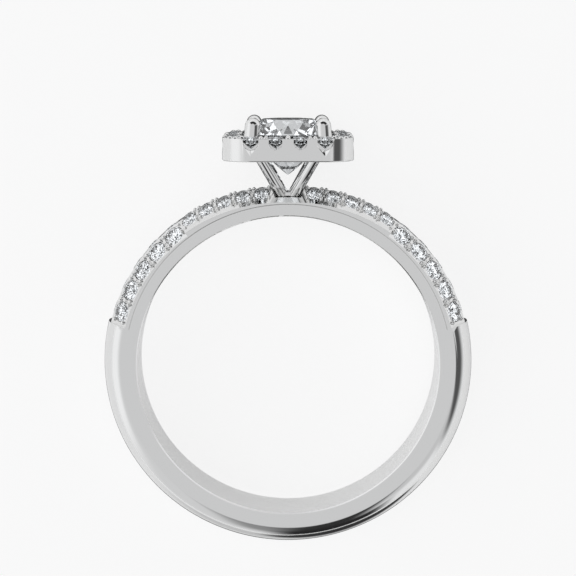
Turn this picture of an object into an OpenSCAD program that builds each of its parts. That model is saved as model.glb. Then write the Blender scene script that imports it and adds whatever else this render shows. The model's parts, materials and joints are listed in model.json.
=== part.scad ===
// Halo ring: a band with stone-set shoulders, a four-claw head and a cushion-shaped halo.
// Millimetres. The ring lies on its side, as it rests by itself: the halo's lower edge and
// the far rim of the band touch the surface Z = 0. The head points along +Y.

/* [Finger] */
// Inside diameter of the band
finger_d = 17.3; // [15.7:0.1:20.6]

/* [Band] */
// Width of the band along the finger
band_w = 3.25; // [3.1:0.05:3.8]
// Thickness of the plain band at its crest
band_t = 2.0; // [1.9:0.05:2.4]
// Height of the band's flat sides above the bore
band_side_t = 0.83; // [0.6:0.01:1.0]
// Bevel at the two rims of the bore
rim_bevel = 0.06; // [0.02:0.01:0.12]

/* [Set shoulders] */
// Thickness of the metal between bore and bed, beside the head
bed_top_t = 1.47; // [1.4:0.01:1.6]
// Thickness of the metal between bore and bed, at the shoulder's far end
bed_end_t = 1.83; // [1.7:0.01:1.85]
// Half width of the bed's flat crest
bed_flat = 0.62; // [0.55:0.01:0.68]
// Height above the bore of the groove that runs along the band's sides, under the bed
groove_t = 0.68; // [0.6:0.01:0.7]
// Depth and height of that groove
groove_size = 0.05; // [0.03:0.01:0.08]
// Distance of the first stones from the head's axis, across the band
row_start = 1.05; // [1:0.01:1.2]
// Metal left at the far end of a row of stones
row_end = 0.27; // [0.2:0.01:0.4]

/* [Shoulder stones] */
// Diameter of the smaller stones, beside the head
small_d = 0.9; // [0.8:0.01:0.95]
// Diameter of the larger stones, further down
large_d = 1.15; // [1.0:0.01:1.18]
// Smaller stones in each row
small_count = 5; // [3:1:6]
// Larger stones in each row
large_count = 5; // [3:1:5]
// Space between neighbours in a row
stone_space = 0.2; // [0.15:0.01:0.3]
// Space between the middle row and a side row
row_space = 0.115; // [0.1:0.005:0.13]
// Depth of the middle row's girdles below the bed
crest_sink = 0.15; // [0.05:0.01:0.18]
// Slope of the bed under the smaller side stones, in degrees
small_slope = 34; // [30:1:38]
// Slope of the bed under the larger side stones, in degrees
large_slope = 42; // [38:1:44]

/* [Head] */
// Thickness of the band under the head's foot
seat_t = 1.03; // [0.9:0.01:1.1]
// Half width of the flat seat for the foot
seat_half = 0.74; // [0.73:0.01:0.8]
// Lean of the shoulders' ends away from the legs, in degrees
seat_lean = 24.5; // [20:0.5:30]
// Radius of the foot
foot_r = 0.66; // [0.55:0.01:0.7]
// Height of the foot
foot_h = 0.24; // [0.15:0.01:0.35]
// Height of the halo frame's underside above the foot's underside
halo_lift = 2.16; // [2:0.02:3]
// Radius of a leg at the foot
leg_foot_r = 0.35; // [0.3:0.01:0.38]
// Radius of a leg where it meets its claw
leg_claw_r = 0.3; // [0.26:0.01:0.36]
// Distance of a leg's centre line from the head's axis at the foot, along each side
leg_foot_off = 0.29; // [0.25:0.01:0.35]

/* [Halo frame] */
// Distance of the round corners' centres inside the center stone's edge, along each side
corner_in = 0.575; // [0.5:0.005:0.6]
// Distance of the halo stones' line from the corner centres
path_r = 1.0; // [0.98:0.01:1.1]
// Width of metal outside the halo stones' line
frame_out = 0.625; // [0.6:0.005:0.7]
// Distance of the round opening's edge inside the center stone's edge
opening_in = 0.325; // [0.28:0.005:0.5]
// Height of the halo frame
frame_h = 1.28; // [1.1:0.01:1.5]
// Bevel along the frame's lower outer edge
frame_bevel = 0.07; // [0.04:0.01:0.12]

/* [Halo stones] */
// Diameter of a halo stone
halo_d = 1.1; // [1.0:0.01:1.14]
// Halo stones along one side of the frame
halo_side_count = 4; // [3:1:4]
// Depth of the scallops in the wall, below the frame's top
scallop_depth = 0.66; // [0.5:0.01:0.8]
// Half width of a scallop
scallop_half = 0.42; // [0.3:0.01:0.45]

/* [Center stone] */
// Diameter of the center stone
center_d = 5.25; // [5.1:0.01:5.4]
// Height of the center stone's girdle above the frame's top
girdle_lift = 0.05; // [0.02:0.01:0.2]

/* [Claws] */
// Distance of a claw's centre outside the center stone's edge
claw_out = 0.2; // [0.15:0.01:0.3]
// Radius of a claw where it leaves the frame
claw_r = 0.46; // [0.42:0.01:0.47]
// Radius of a claw under its rounded tip
claw_tip_r = 0.42; // [0.36:0.01:0.44]
// Height of the claws' tips above the frame's top
claw_rise = 1.06; // [0.95:0.01:1.3]
// Lean of a claw towards the center stone, in degrees
claw_lean = 5; // [2:0.5:8]

/* [Beads and clearances] */
// Radius of the beads on the shoulders
bead_r = 0.15; // [0.12:0.01:0.16]
// Radius of the beads on the halo frame
halo_bead_r = 0.17; // [0.13:0.01:0.18]
// Gap between a stone and its seat
stone_gap = 0.025; // [0.02:0.005:0.05]
// Gap between the foot and its seat on the band
foot_gap = 0.02; // [0.01:0.01:0.05]

/* [Hidden] */
round_fn = 96;
small_fn = 48;
bead_fn = 20;
reach = 40;
slack = 1;
// Angle by which the band's stretches run into each other, in degrees
lap = 0.2;
shine = [0.86, 0.86, 0.85];
crystal = [0.9, 0.95, 1.0, 0.6];

// Cut of a round brilliant, as shares of its diameter
table_share = 0.57;
crown_share = 0.15;
girdle_share = 0.03;
pavilion_share = 0.43;
star_share = 0.55;
lower_share = 0.78;

// Places that follow the center stone: the centres of the frame's round corners and of the
// claws, along each side of the head, and the radius of the opening under the stone
corner_off = center_d / 2 - corner_in;
opening_r = center_d / 2 - opening_in;
claw_off = (center_d / 2 + claw_out) / sqrt(2);

// Radii of the band, measured from the finger's axis
bore_r = finger_d / 2;
crest_r = bore_r + band_t;
side_r = bore_r + band_side_t;
groove_r = bore_r + groove_t;
half_w = band_w / 2;

// The bed of each shoulder is turned about an axis beside the finger's own,
// so that it grows thicker away from the head.
bed_r = bore_r + bed_top_t;
bed_shift = bed_end_t - bed_top_t;
girdle_sink = 0.02;

// Beads: lift above the bed, and place down a side stone's flank
bead_lift = 0.01;
flank_bead_share = 0.36;

// Beads on the halo frame, in bead radii: depth below the frame's top, distance from the
// outer wall for the beads beside the stones, and from the stones' line and the corners
halo_bead_depth = 0.3;
halo_bead_edge = 1.25;
halo_bead_inset = 1.6;

// Depth of the halo stones' girdles below the frame's top
halo_girdle_drop = 0.1;

// Heights of the head, measured from the finger's axis
seat_z = bore_r + seat_t;
foot_z = seat_z + foot_gap;
frame_z = foot_z + halo_lift;
frame_top_z = frame_z + frame_h;
girdle_z = frame_top_z + girdle_lift;
frame_half = corner_off + path_r + frame_out;
tip_z = frame_top_z + claw_rise;

function halo_name(k) = str("halo_stone_", k < 9 ? "0" : "", k + 1);

// Outer half of the plain band's section, as points [radius, height], from rim to rim
dome_steps = 18;
dome = [for (k = [0 : dome_steps])
    let (a = -90 + 180 * k / dome_steps)
    [side_r + (crest_r - side_r) * cos(a), half_w * sin(a)]];

// Shoulder stones: diameter, slope and place of each one in its row
row_count = small_count + large_count;
function is_small(i) = i < small_count;
function row_d(i) = is_small(i) ? small_d : large_d;
function slope(i) = is_small(i) ? small_slope : large_slope;
function side_height(i) = row_d(i) / 2 * (1 + cos(slope(i))) + row_space;
function side_radius(i) = bed_r - (side_height(i) - bed_flat) * tan(slope(i));
function place_angle(i) = i == 0
    ? asin((row_start + row_d(0) / 2 - bed_shift) / side_radius(0))
    : place_angle(i - 1) + (180 / PI) * ((row_d(i) + row_d(i - 1)) / 2 + stone_space)
        / ((side_radius(i) + side_radius(i - 1)) / 2);
// The middle of the space after stone i, or before the first stone
function between_angle(i) = i < 0
    ? place_angle(0) - (180 / PI) * (row_d(0) + stone_space) / 2 / side_radius(0)
    : place_angle(i) + (180 / PI) * (row_d(i) + stone_space) / 2 / side_radius(i);
last_angle = place_angle(row_count - 1)
    + (180 / PI) * (row_d(row_count - 1) / 2 + row_end) / side_radius(row_count - 1);
size_change_angle = between_angle(small_count - 1);

// The shoulder's end, seen from the finger's axis
shoulder_angle = atan2(bed_shift + bed_r * sin(last_angle), bed_r * cos(last_angle));

// How the ring rests: the band's far rim and the halo's lower edge at one height
function band_drop(t) = max([for (p = dome) p[1] * cos(t) + p[0] * sin(t)]);
function halo_drop(t) = frame_half * cos(t) - (frame_z + frame_bevel) * sin(t);
function rest_tilt(low, high, step) = step == 0
    ? (low + high) / 2
    : let (mid = (low + high) / 2)
        halo_drop(mid) > band_drop(mid)
        ? rest_tilt(mid, high, step - 1)
        : rest_tilt(low, mid, step - 1);
steepest_tilt = 30;
halvings = 40;
tilt = rest_tilt(0, steepest_tilt, halvings);
lift = band_drop(tilt);

// A claw's length below the frame's top, and its rounded tip, as part of a ball
claw_root = 0.75;
tip_ball_share = 1.15;
tip_ball_r = claw_tip_r * tip_ball_share;
tip_ball_drop = sqrt(tip_ball_r * tip_ball_r - claw_tip_r * claw_tip_r);
claw_len = (tip_z - tip_ball_r - frame_top_z) / cos(claw_lean) + tip_ball_drop;
tip_in = (claw_len - tip_ball_drop) * sin(claw_lean) / sqrt(2);
tip_ball_z = frame_top_z + (claw_len - tip_ball_drop) * cos(claw_lean);

// Reach of the tilted ring along Y, so that the origin is under its middle
far_y = (claw_off - tip_in) * sin(tilt) + tip_ball_z * cos(tilt) + tip_ball_r;
near_y = -max([for (p = dome) p[0] * cos(tilt) + p[1] * sin(tilt)]);
mid_y = (far_y + near_y) / 2;

// Puts a piece that is modelled around the finger's axis, head along +Y, where it rests
module at_rest() {
    translate([0, -mid_y, lift]) rotate([tilt, 0, 0]) children();
}

// Turns a piece that is modelled upright, head along +Z, so that its head is along +Y
module laid_over() {
    rotate([-90, 0, 0]) children();
}

// A round brilliant, its girdle's middle at the origin and its table up
module brilliant(d, sides = 8) {
    r = d / 2;
    half_girdle = girdle_share * d / 2;
    crown_z = half_girdle + crown_share * d;
    star_z = half_girdle + crown_share * d * (1 - star_share);
    star_r = r * (1 - (1 - table_share) * (1 - star_share));
    culet_z = -half_girdle - pavilion_share * d;
    lower_z = culet_z * lower_share;
    step = 360 / sides;
    table_pts = [for (k = [0 : sides - 1]) ring_point(table_share * r, k * step, crown_z)];
    star_pts = [for (k = [0 : sides - 1]) ring_point(star_r, (k + 0.5) * step, star_z)];
    top_pts = [for (k = [0 : sides - 1]) ring_point(r, k * step, half_girdle)];
    low_pts = [for (k = [0 : sides - 1]) ring_point(r, k * step, -half_girdle)];
    points = concat(table_pts, star_pts, top_pts, low_pts, [[0, 0, culet_z]]);
    s = sides;
    faces = concat(
        [[for (k = [s - 1 : -1 : 0]) k]],
        [for (k = [0 : s - 1]) [k, (k + 1) % s, s + k]],
        [for (k = [0 : s - 1]) [k, s + k, 2 * s + k]],
        [for (k = [0 : s - 1]) [(k + 1) % s, 2 * s + (k + 1) % s, s + k]],
        [for (k = [0 : s - 1]) [s + k, 2 * s + (k + 1) % s, 2 * s + k]],
        [for (k = [0 : s - 1]) [2 * s + k, 2 * s + (k + 1) % s, 3 * s + (k + 1) % s]],
        [for (k = [0 : s - 1]) [2 * s + k, 3 * s + (k + 1) % s, 3 * s + k]],
        [for (k = [0 : s - 1]) [3 * s + k, 3 * s + (k + 1) % s, 4 * s]]);
    polyhedron(points, faces);
}

function ring_point(r, a, z) = [r * cos(a), r * sin(a), z];

// The room that a stone needs in the metal: its own section, a gap wider, open above
module stone_room(d, open) {
    r = d / 2 + stone_gap;
    half_girdle = girdle_share * d / 2;
    culet_z = -half_girdle - pavilion_share * d - stone_gap;
    rotate_extrude($fn = small_fn)
        polygon([[0, culet_z], [r, -half_girdle], [r, open], [0, open]]);
}

// Section of a shoulder's bed for one stone size, as [radius, height]
module bed_section(bed_slope) {
    inner = bore_r - bed_shift - slack;
    edge = bed_r - (half_w - bed_flat) * tan(bed_slope);
    polygon([
        [bed_r, bed_flat],
        [edge, half_w],
        [inner, half_w],
        [inner, -half_w],
        [edge, -half_w],
        [bed_r, -bed_flat]]);
}

// A wedge about the finger's axis, between two angles measured from the head towards +X
module wedge(from, to) {
    middle = (from + to) / 2;
    translate([0, 0, -reach / 2]) linear_extrude(reach)
        polygon([[0, 0], wedge_point(from), wedge_point(middle), wedge_point(to)]);
}

function wedge_point(a) = [reach * sin(a), reach * cos(a)];

// One stretch of the bed on the +X side, for the stones from first to last
module bed_stretch(first, last, from, to) {
    difference() {
        intersection() {
            translate([bed_shift, 0, 0]) rotate_extrude($fn = round_fn) bed_section(slope(first));
            wedge(from, to);
        }
        for (i = [first : last], row = [-1 : 1])
            at_place(i, row) stone_room(row_d(i), row_d(i) / 2);
    }
}

// The set shoulder on the +X side: a stretch for each stone size, and the beads
module shoulder() {
    change = atan2(
        bed_shift + bed_r * sin(size_change_angle),
        bed_r * cos(size_change_angle));
    bed_stretch(0, small_count - 1, -lap, change + lap);
    bed_stretch(small_count, row_count - 1, change - lap, shoulder_angle);
    for (i = [-1 : row_count - 1]) shoulder_beads(i);
}

// Puts a stone or its seat in the shoulder on the +X side; row is -1, 0 or 1
module at_place(i, row) {
    radius = row == 0 ? bed_r : side_radius(i);
    sink = row == 0 ? crest_sink : girdle_sink;
    translate([bed_shift, 0, 0])
        rotate([0, 0, -place_angle(i)])
        translate([0, radius, row * side_height(i)])
        rotate([row * slope(i) - 90, 0, 0])
        translate([0, 0, -sink])
        children();
}

// Beads after stone i of each row: low on the bed's flanks and, away from the legs, beside
// its crest. Each is a ball with its middle a little above the bed.
module shoulder_beads(i) {
    before = max(i, 0);
    after = min(i + 1, row_count - 1);
    flank = (flank_height(before) + flank_height(after)) / 2;
    flank_spot = [bed_r - (flank - bed_flat) * tan(slope(before)), flank];
    crest_spot = [bed_r, bed_flat];
    for (spot = i < 0 ? [flank_spot] : [crest_spot, flank_spot], side = [-1, 1])
        translate([bed_shift, 0, 0])
            rotate([0, 0, -between_angle(i)])
            translate([0, spot[0] + bead_lift, side * spot[1]])
            rotate([-90, 0, 0])
            sphere(r = bead_r, $fn = bead_fn);
}

function flank_height(i) = side_height(i) + row_d(i) * flank_bead_share * cos(slope(i));

module both_sides() {
    children();
    mirror([1, 0, 0]) children();
}

// The band's plain lower part
module plain_band() {
    intersection() {
        rotate_extrude($fn = round_fn)
            polygon(concat(dome, [[bore_r - slack, half_w], [bore_r - slack, -half_w]]));
        union() {
            wedge(shoulder_angle - lap, 180 + lap);
            wedge(180, 360 - shoulder_angle + lap);
        }
    }
}

// What is taken out for the finger, with a bevel at each rim
module finger_room() {
    bevel_r = bore_r + rim_bevel;
    cylinder(h = 2 * band_w, r = bore_r, center = true, $fn = round_fn);
    for (side = [0, 1])
        mirror([0, 0, side])
        translate([0, 0, half_w - rim_bevel])
        cylinder(h = 2 * rim_bevel, r1 = bore_r, r2 = bevel_r + rim_bevel, $fn = round_fn);
}

// The groove along each side of the band, from one shoulder's end to the other's
module grooves() {
    intersection() {
        for (side = [0, 1])
            mirror([0, 0, side])
            rotate_extrude($fn = round_fn)
            polygon([
                [groove_r, half_w - groove_size],
                [groove_r + groove_size, half_w + groove_size],
                [groove_r - groove_size, half_w + groove_size]]);
        wedge(-shoulder_angle, shoulder_angle);
    }
}

// What is taken out above the foot's seat: its ends lean away from the legs
module seat_room() {
    top_half = seat_half + (crest_r - seat_z) * tan(seat_lean);
    linear_extrude(2 * band_w, center = true) polygon([
        [-seat_half, seat_z],
        [seat_half, seat_z],
        [top_half, crest_r],
        [-top_half, crest_r]]);
}

module shank() {
    color(shine) at_rest() difference() {
        union() {
            plain_band();
            both_sides() shoulder();
        }
        finger_room();
        grooves();
        seat_room();
    }
}

module shoulder_stones_right() {
    color(crystal) at_rest()
        for (i = [0 : row_count - 1], row = [-1 : 1])
            at_place(i, row) brilliant(row_d(i));
}

module shoulder_stones_left() {
    mirror([1, 0, 0]) shoulder_stones_right();
}

// Halo stones: side 0 to 3, and place along the side
function along(k) = -corner_off + 2 * corner_off * k / (halo_side_count - 1);

module at_halo_place(side, k) {
    rotate([0, 0, 90 * side])
        translate([along(k), corner_off + path_r, frame_top_z])
        children();
}

module halo_stone(k) {
    side = floor(k / halo_side_count);
    color(crystal) at_rest() laid_over()
        at_halo_place(side, k - side * halo_side_count)
        translate([0, 0, -halo_girdle_drop])
        brilliant(halo_d);
}

// A square with round corners about the corner centres, grown by out
module cushion(height, out) {
    side = 2 * corner_off;
    linear_extrude(height) square([side + 2 * out, side], center = true);
    linear_extrude(height) square([side, side + 2 * out], center = true);
    for (x = [-1, 1], y = [-1, 1])
        translate([x * corner_off, y * corner_off, 0])
        cylinder(h = height, r = out, $fn = round_fn);
}

module halo_frame() {
    out = path_r + frame_out;
    translate([0, 0, frame_z + frame_bevel]) cushion(frame_h - frame_bevel, out);
    translate([0, 0, frame_z]) cushion(frame_bevel, out - frame_bevel);
}

// The seat of one halo stone and the scallop that opens it through the wall
module halo_seat() {
    translate([0, 0, -halo_girdle_drop]) stone_room(halo_d, halo_d);
    translate([0, 0, scallop_half - scallop_depth])
        rotate([-90, 0, 0])
        cylinder(h = path_r + frame_out, r = scallop_half, $fn = small_fn);
    translate([-scallop_half, 0, scallop_half - scallop_depth])
        cube([2 * scallop_half, path_r + frame_out, scallop_depth]);
}

module halo_beads() {
    bead_z = frame_top_z - halo_bead_r * halo_bead_depth;
    outer = corner_off + path_r + frame_out - halo_bead_r * halo_bead_edge;
    inner = corner_off + path_r - halo_bead_r * halo_bead_inset;
    diagonal = corner_off + (path_r + frame_out - halo_bead_r * halo_bead_inset) / sqrt(2);
    for (side = [0 : 3]) rotate([0, 0, 90 * side]) {
        for (k = [0 : halo_side_count - 2], y = [outer, inner])
            translate([(along(k) + along(k + 1)) / 2, y, bead_z])
            sphere(r = halo_bead_r, $fn = bead_fn);
        translate([diagonal, diagonal, bead_z]) sphere(r = halo_bead_r, $fn = bead_fn);
    }
}

// One claw with its leg, on the head's diagonal towards +X and +Y
module claw() {
    translate([claw_off, claw_off, frame_top_z])
        rotate([0, 0, 45])
        rotate([0, -claw_lean, 0]) {
            translate([0, 0, -claw_root]) cylinder(h = claw_root, r = claw_r, $fn = small_fn);
            cylinder(h = claw_len, r1 = claw_r, r2 = claw_tip_r, $fn = small_fn);
            translate([0, 0, claw_len - tip_ball_drop]) intersection() {
                sphere(r = tip_ball_r, $fn = small_fn);
                cylinder(h = 2 * tip_ball_r, r = claw_tip_r, $fn = small_fn);
            }
        }
}

module leg() {
    top_z = frame_top_z - claw_root / 2;
    run = (claw_off - leg_foot_off) * sqrt(2);
    rise = top_z - foot_z;
    length = sqrt(run * run + rise * rise);
    translate([leg_foot_off, leg_foot_off, foot_z])
        rotate([0, 0, 45])
        rotate([0, atan2(run, rise), 0])
        translate([0, 0, -leg_foot_r])
        cylinder(h = length + leg_foot_r, r1 = leg_foot_r, r2 = leg_claw_r, $fn = small_fn);
}

module foot() {
    translate([0, 0, foot_z]) cylinder(h = foot_h, r = foot_r, $fn = small_fn);
}

module center_place() {
    translate([0, 0, girdle_z]) children();
}

module head() {
    color(shine) at_rest() laid_over() difference() {
        union() {
            difference() {
                halo_frame();
                translate([0, 0, frame_z - slack])
                    cylinder(h = frame_h + 2 * slack, r = opening_r, $fn = round_fn);
                for (side = [0 : 3], k = [0 : halo_side_count - 1])
                    at_halo_place(side, k) halo_seat();
            }
            halo_beads();
            for (side = [0 : 3]) rotate([0, 0, 90 * side]) {
                claw();
                leg();
            }
            foot();
        }
        center_place() stone_room(center_d, girdle_share * center_d / 2);
        center_place() crown_room();
        translate([-reach / 2, -reach / 2, foot_z - reach]) cube([reach, reach, reach]);
    }
}

// The room above the girdle: the crown's own slope, a gap wider
module crown_room() {
    half_girdle = girdle_share * center_d / 2;
    rotate_extrude($fn = small_fn) polygon([
        [0, half_girdle - stone_gap],
        [center_d / 2 + stone_gap, half_girdle - stone_gap],
        [center_d / 2 + stone_gap, half_girdle],
        [table_share * center_d / 2, half_girdle + crown_share * center_d + stone_gap],
        [0, half_girdle + crown_share * center_d + stone_gap]]);
}

module center_stone() {
    color(crystal) at_rest() laid_over() center_place() brilliant(center_d, 16);
}

shank();
head();
center_stone();
for (k = [0 : 4 * halo_side_count - 1])
    halo_stone(k);
shoulder_stones_left();
shoulder_stones_right();
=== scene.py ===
# %% [markdown]
# # A halo ring, from the frame to the finish
# The ring is white gold: a band with stone-set shoulders, and a head of four claws that holds
# one round brilliant inside a cushion-shaped halo of sixteen small ones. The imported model
# gives every size and place. Here each metal piece is modelled again with the small bevels,
# beads and bright cuts that catch the light, and each stone gets all its facets.

# %% Load the fixed frame
import json
import math
import bpy
import bmesh
from mathutils import Matrix, Vector


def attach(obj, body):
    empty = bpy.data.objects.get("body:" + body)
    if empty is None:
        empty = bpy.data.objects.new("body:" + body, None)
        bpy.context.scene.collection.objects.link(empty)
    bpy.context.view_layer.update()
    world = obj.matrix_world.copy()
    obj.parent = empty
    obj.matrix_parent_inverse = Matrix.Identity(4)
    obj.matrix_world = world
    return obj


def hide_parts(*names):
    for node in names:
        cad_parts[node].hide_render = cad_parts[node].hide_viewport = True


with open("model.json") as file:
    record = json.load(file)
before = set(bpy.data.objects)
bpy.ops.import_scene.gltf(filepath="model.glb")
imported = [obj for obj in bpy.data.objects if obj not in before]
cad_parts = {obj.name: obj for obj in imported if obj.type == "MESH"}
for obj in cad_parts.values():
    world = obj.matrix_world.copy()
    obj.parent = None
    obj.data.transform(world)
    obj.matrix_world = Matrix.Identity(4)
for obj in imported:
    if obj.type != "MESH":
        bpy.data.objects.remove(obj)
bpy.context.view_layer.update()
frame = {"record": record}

# %% [markdown]
# ## Working in millimetres
# A ring is so small that Blender's merge and bevel distances, which suit things of a metre,
# would swallow its details. So every piece is modelled a thousand times larger, with one
# unit for a millimetre, around the finger's axis. `at_rest` then shrinks it and lays it where
# the ring rests. The tilt comes from the bore mount, so the pieces follow the frame.

# %% Places of the ring's two frames
bore = frame["record"]["mounts"][0]
tilt = math.atan2(-bore["axis"][1], bore["axis"][2])
at_rest = Matrix.Translation(bore["pos_m"]) @ Matrix.Rotation(tilt, 4, "X") @ Matrix.Scale(0.001, 4)
laid_over = Matrix.Rotation(-math.pi / 2, 4, "X")
print("the ring leans by", round(math.degrees(tilt), 2), "degrees")

# %% Sizes in millimetres
bore_r = bore["dims"]["r_mm"]
band_w = 3.25
crest_r = bore_r + 2.0
side_r = bore_r + 0.83
groove_r = bore_r + 0.68
rim_bevel = 0.06
half_w = band_w / 2

bed_r = bore_r + 1.47
bed_shift = 0.36
bed_flat = 0.62
small_d = 0.9
large_d = 1.15
small_count = 5
row_count = 10
stone_space = 0.2
row_space = 0.115
small_slope = 34
large_slope = 42
row_start = 1.05
row_end = 0.27
girdle_sink = 0.02
crest_sink = 0.15
lap = 0.2

seat_z = bore_r + 1.03
seat_half = 0.74
seat_lean = 24.5
foot_z = seat_z + 0.02
foot_r = 0.66
frame_z = foot_z + 2.16
frame_h = 1.28
top_z = frame_z + frame_h
center_d = 5.25
girdle_z = top_z + 0.05
corner_off = center_d / 2 - 0.575
path_r = 1.0
frame_out = 0.625
frame_half = corner_off + path_r + frame_out
opening_r = center_d / 2 - 0.325
halo_d = 1.1
halo_side_count = 4
halo_drop = 0.1
claw_off = (center_d / 2 + 0.2) / math.sqrt(2)
claw_rise = 1.06
claw_lean = 5


# %% [markdown]
# ## Helpers
# An operator works on whatever is selected, so each step starts by clearing the selection.
# `keep_only` does that and makes one piece the active one. `select` picks faces or points by
# their place, which reads like pointing at them by hand.

# %% Selection and modifiers
def keep_only(piece):
    bpy.ops.object.select_all(action="DESELECT")
    piece.hide_set(False)
    piece.select_set(True)
    bpy.context.view_layer.objects.active = piece
    return piece


def edit(piece, mode="VERT"):
    keep_only(piece)
    bpy.ops.object.mode_set(mode="EDIT")
    bpy.ops.mesh.select_mode(type=mode)


def leave_edit():
    bpy.ops.object.mode_set(mode="OBJECT")


def select(piece, test, what="verts"):
    mesh = bmesh.from_edit_mesh(piece.data)
    for part in list(mesh.verts) + list(mesh.edges) + list(mesh.faces):
        part.select = False
    for part in getattr(mesh, what):
        if test(part):
            part.select = True
    mesh.select_flush_mode()
    bmesh.update_edit_mesh(piece.data)


def apply_modifier(piece, kind, **settings):
    keep_only(piece)
    modifier = piece.modifiers.new(kind.title(), kind)
    for name, value in settings.items():
        setattr(modifier, name, value)
    bpy.ops.object.modifier_apply(modifier=modifier.name)


def place(piece, matrix):
    """Moves the mesh itself, and leaves the object at the origin."""
    keep_only(piece)
    piece.matrix_world = matrix
    bpy.ops.object.transform_apply(location=True, rotation=True, scale=True)
    return piece


def copy_of(piece, name, matrix=None):
    twin = piece.copy()
    twin.data = piece.data.copy()
    twin.name = name
    bpy.context.collection.objects.link(twin)
    if matrix is not None:
        place(twin, matrix)
    return twin


def join(pieces, name):
    bpy.ops.object.select_all(action="DESELECT")
    for piece in pieces:
        piece.select_set(True)
    bpy.context.view_layer.objects.active = pieces[0]
    bpy.ops.object.join()
    pieces[0].name = name
    return pieces[0]


def remove(piece):
    bpy.data.objects.remove(piece)


def face_outwards(piece):
    edit(piece)
    bpy.ops.mesh.select_all(action="SELECT")
    bpy.ops.mesh.remove_doubles(threshold=0.0005)
    bpy.ops.mesh.normals_make_consistent(inside=False)
    leave_edit()


def cut(piece, tool, operation="DIFFERENCE"):
    """Takes the tool out of the piece, and throws the tool away."""
    apply_modifier(piece, "BOOLEAN", operation=operation, object=tool, solver="MANIFOLD")
    remove(tool)


# %% [markdown]
# ## Drawing a section
# A band is drawn as a goldsmith draws it: one section, carried round the finger. A single
# point is extruded along the section's corners, the outline is filled, and Spin sweeps it.

# %% Draw and sweep
def draw_outline(name, points):
    """An outline in the plane of X (the radius) and Z (along the finger)."""
    bpy.ops.object.select_all(action="DESELECT")
    bpy.ops.mesh.primitive_plane_add(size=1)
    piece = bpy.context.object
    piece.name = name
    edit(piece)
    bpy.ops.mesh.select_all(action="SELECT")
    bpy.ops.mesh.merge(type="CENTER")
    start = Vector((points[0][0], 0, points[0][1]))
    bpy.ops.transform.translate(value=start)
    for here, there in zip(points, points[1:]):
        step = Vector((there[0] - here[0], 0, there[1] - here[1]))
        bpy.ops.mesh.extrude_vertices_move(TRANSFORM_OT_translate={"value": step})
    leave_edit()
    return piece


def draw_section(name, points):
    piece = draw_outline(name, points)
    edit(piece)
    bpy.ops.mesh.select_all(action="SELECT")
    bpy.ops.mesh.edge_face_add()
    leave_edit()
    return piece


def sweep(piece, start, turn, steps, center=(0, 0, 0)):
    """Spins the section about the finger's direction. Angles go from the head towards +X."""
    place(piece, Matrix.Translation(center) @ Matrix.Rotation(math.radians(90 - start), 4, "Z"))
    edit(piece)
    bpy.ops.mesh.select_all(action="SELECT")
    bpy.ops.mesh.spin(steps=steps, angle=math.radians(turn), center=center, axis=(0, 0, 1))
    leave_edit()
    face_outwards(piece)
    return piece


# %% [markdown]
# ## The plain band
# The lower part of the band is flat on its two sides and domed outside. Half an ellipse gives
# the dome. The section has spare metal inside, because the bore is cut later, when the band's
# parts are one, as a goldsmith trues it on the lathe at the end.

# %% Where the shoulders end
def row_d(i):
    return small_d if i < small_count else large_d


def slope(i):
    return math.radians(small_slope if i < small_count else large_slope)


def side_height(i):
    return row_d(i) / 2 * (1 + math.cos(slope(i))) + row_space


def side_radius(i):
    return bed_r - (side_height(i) - bed_flat) * math.tan(slope(i))


def stone_angles():
    """Each stone's angle about the bed's axis, one spacing after the other."""
    angles = [math.asin((row_start + row_d(0) / 2 - bed_shift) / side_radius(0))]
    for i in range(1, row_count):
        spacing = (row_d(i) + row_d(i - 1)) / 2 + stone_space
        angles.append(angles[-1] + 2 * spacing / (side_radius(i) + side_radius(i - 1)))
    return angles


def seen_angle(angle, radius=bed_r):
    """An angle about the bed's axis, as seen from the finger's axis, in degrees."""
    return math.degrees(math.atan2(bed_shift + radius * math.sin(angle), radius * math.cos(angle)))


places = stone_angles()
last = row_count - 1
last_angle = places[last] + (row_d(last) / 2 + row_end) / side_radius(last)
shoulder_angle = seen_angle(last_angle)
print("the shoulders end", round(shoulder_angle, 1), "degrees from the head")

# %% Band section and sweep
dome_steps = 36
dome = []
for k in range(dome_steps + 1):
    a = math.radians(90 - 180 * k / dome_steps)
    dome.append((side_r + (crest_r - side_r) * math.cos(a), half_w * math.sin(a)))
stock = 0.6
plain_band = draw_section("plain_band", dome + [(bore_r - stock, -half_w), (bore_r - stock, half_w)])
sweep(plain_band, start=shoulder_angle - lap, turn=360 - 2 * (shoulder_angle - lap), steps=160)
print("plain band:", len(plain_band.data.polygons), "faces")


# %% [markdown]
# ## The stone-set shoulders
# Each shoulder is a bed with three slopes, one for each row of stones. It is turned about an
# axis a little beside the finger's, so it grows thicker away from the head. The bed changes
# its slope where the stones change their size, so it is swept as two stretches.

# %% Sweep the two stretches of a bed
def bed_section(name, bed_slope):
    edge = bed_r - (half_w - bed_flat) * math.tan(bed_slope)
    inner = bore_r - bed_shift - stock
    return draw_section(name, [(bed_r, -bed_flat), (edge, -half_w), (inner, -half_w),
                               (inner, half_w), (edge, half_w), (bed_r, bed_flat)])


def between(i):
    """The middle of the space after stone i, or before the first stone."""
    if i < 0:
        return places[0] - (row_d(0) + stone_space) / 2 / side_radius(0)
    return places[i] + (row_d(i) + stone_space) / 2 / side_radius(i)


def trim(piece, angle, keep_after):
    """Cuts the piece along a plane through the finger's axis."""
    a = math.radians(angle)
    normal = Vector((math.cos(a), -math.sin(a), 0))
    edit(piece)
    bpy.ops.mesh.select_all(action="SELECT")
    bpy.ops.mesh.bisect(plane_co=(0, 0, 0), plane_no=normal, use_fill=True, threshold=0.00001,
                        clear_inner=keep_after, clear_outer=not keep_after)
    leave_edit()


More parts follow.
